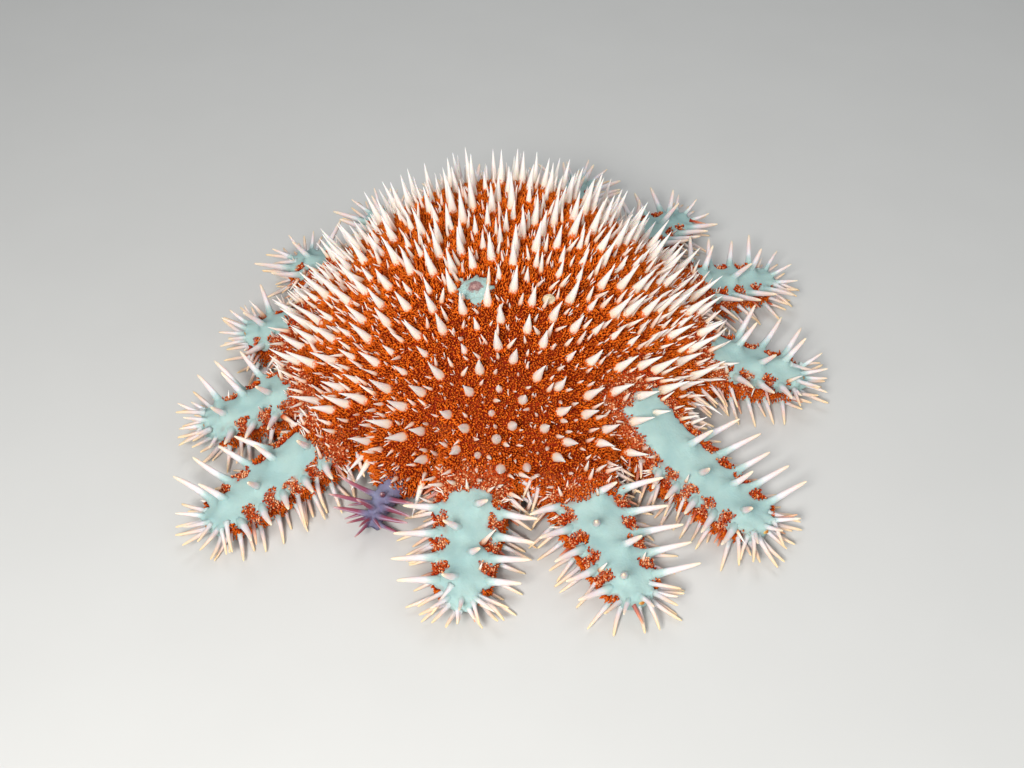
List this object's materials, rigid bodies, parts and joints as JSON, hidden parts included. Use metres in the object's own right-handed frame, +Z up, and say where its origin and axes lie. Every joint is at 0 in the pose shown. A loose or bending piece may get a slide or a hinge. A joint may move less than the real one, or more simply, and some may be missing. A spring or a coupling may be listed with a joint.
{
  "type": "crown-of-thorns starfish model",
  "caption": "Life-size still model of a crown-of-thorns starfish: a humped, spiny orange-red disc with short, spiny teal arms all round, resting on the floor.",
  "frame": {"origin": "on the floor, under the middle of the model's box", "axes": "+Z up; -Y towards the picture's camera; arm_14 points close to +X, and the arms are numbered anticlockwise from arm_01"},
  "size_m": [0.2526, 0.2712, 0.0826],
  "materials": {
    "papulae_skin": "velvety orange-red skin with white spines",
    "arm_skin": "smooth pale teal skin with pink-white spines",
    "lavender_skin": "smooth lavender skin",
    "mouth_skin": "soft cream membrane",
    "sieve_plate": "matte, finely grooved"
  },
  "bodies": {
    "root": {"disc": "papulae_skin", "arm_01": "arm_skin", "arm_02": "arm_skin", "arm_03": "arm_skin", "arm_04": "arm_skin", "arm_05": "arm_skin", "arm_06": "arm_skin", "arm_07": "arm_skin", "arm_08": "arm_skin", "arm_09": "arm_skin", "arm_10_regrowing": "lavender_skin", "arm_11": "arm_skin", "arm_12": "arm_skin", "arm_13": "arm_skin", "arm_14": "arm_skin", "mouth": "mouth_skin", "sieve_plate_large": "sieve_plate", "sieve_plate_small": "sieve_plate"}
  },
  "joints": []
}
